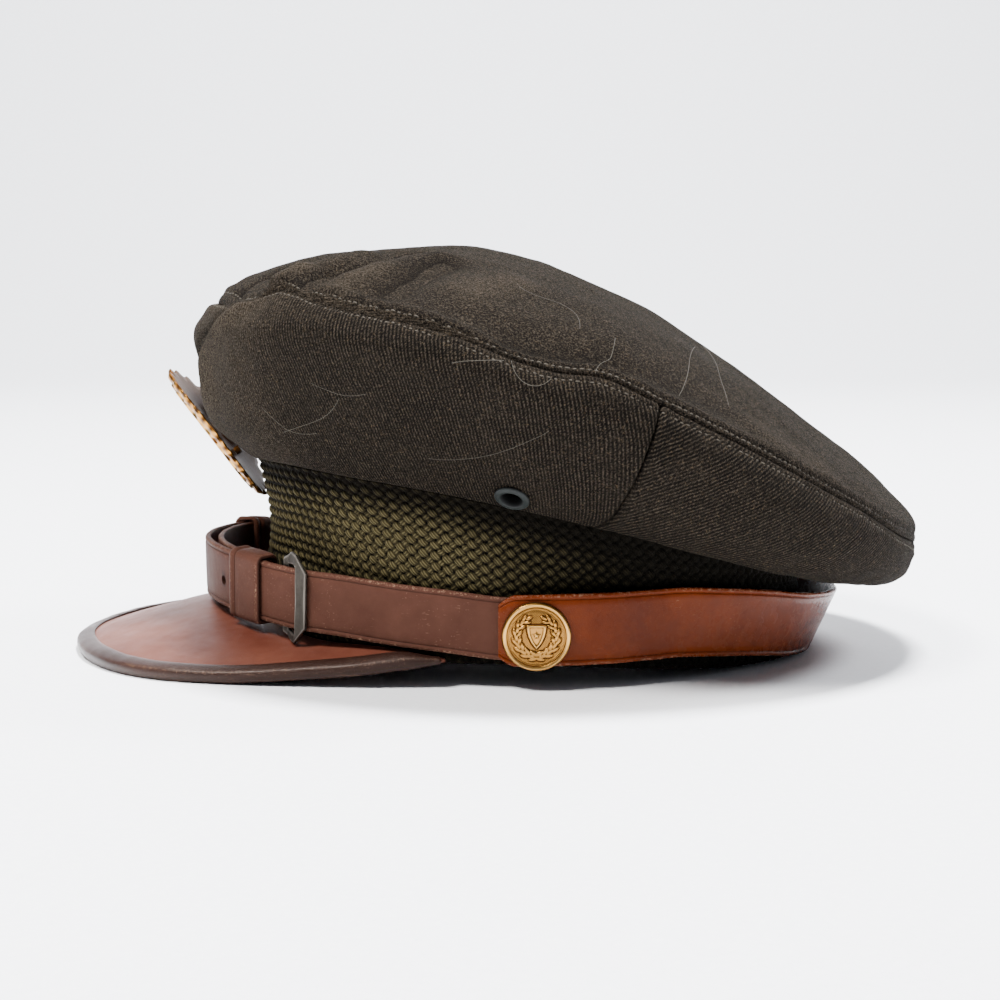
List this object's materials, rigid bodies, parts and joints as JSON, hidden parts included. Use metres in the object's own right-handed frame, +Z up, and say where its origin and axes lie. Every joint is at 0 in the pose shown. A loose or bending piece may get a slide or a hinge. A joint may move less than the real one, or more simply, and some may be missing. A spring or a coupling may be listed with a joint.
{
  "type": "crusher cap",
  "caption": "Soft peaked cap with a limp slouched crown, braided band, leather peak, buckled front strap, side buttons and a front badge.",
  "frame": {"origin": "centre of the cap's footprint box, on the surface it rests on", "axes": "+X to the back of the cap, -Y to its left side, +Z up"},
  "size_m": [0.2919, 0.2428, 0.1384],
  "materials": {
    "crown_cloth": "dark olive wool twill, brushed and matte",
    "band_braid": "olive braid in a basket weave",
    "peak_leather": "russet, satin, lightly scratched",
    "binding_leather": "dark brown, scuffed",
    "front_strap_leather": "brown, satin, embossed edge lines",
    "rear_strap_leather": "red brown, satin",
    "buckle_metal": "dull grey",
    "gilt": "aged gilt",
    "eyelet_enamel": "dark grey-green enamel"
  },
  "bodies": {
    "root": {"crown_top": "crown_cloth", "quarter_front_left": "crown_cloth", "quarter_front_right": "crown_cloth", "quarter_rear_left": "crown_cloth", "quarter_rear_right": "crown_cloth", "band": "band_braid", "peak": "peak_leather", "peak_binding": "binding_leather", "front_strap_outer": "front_strap_leather", "front_strap_inner": "front_strap_leather", "keeper_left": "front_strap_leather", "keeper_right": "front_strap_leather", "buckle_left": "buckle_metal", "buckle_right": "buckle_metal", "rear_strap": "rear_strap_leather", "button_left": "gilt", "button_right": "gilt", "eyelet_left": "eyelet_enamel", "eyelet_right": "eyelet_enamel", "badge": "gilt", "badge_post": "gilt"}
  },
  "joints": []
}
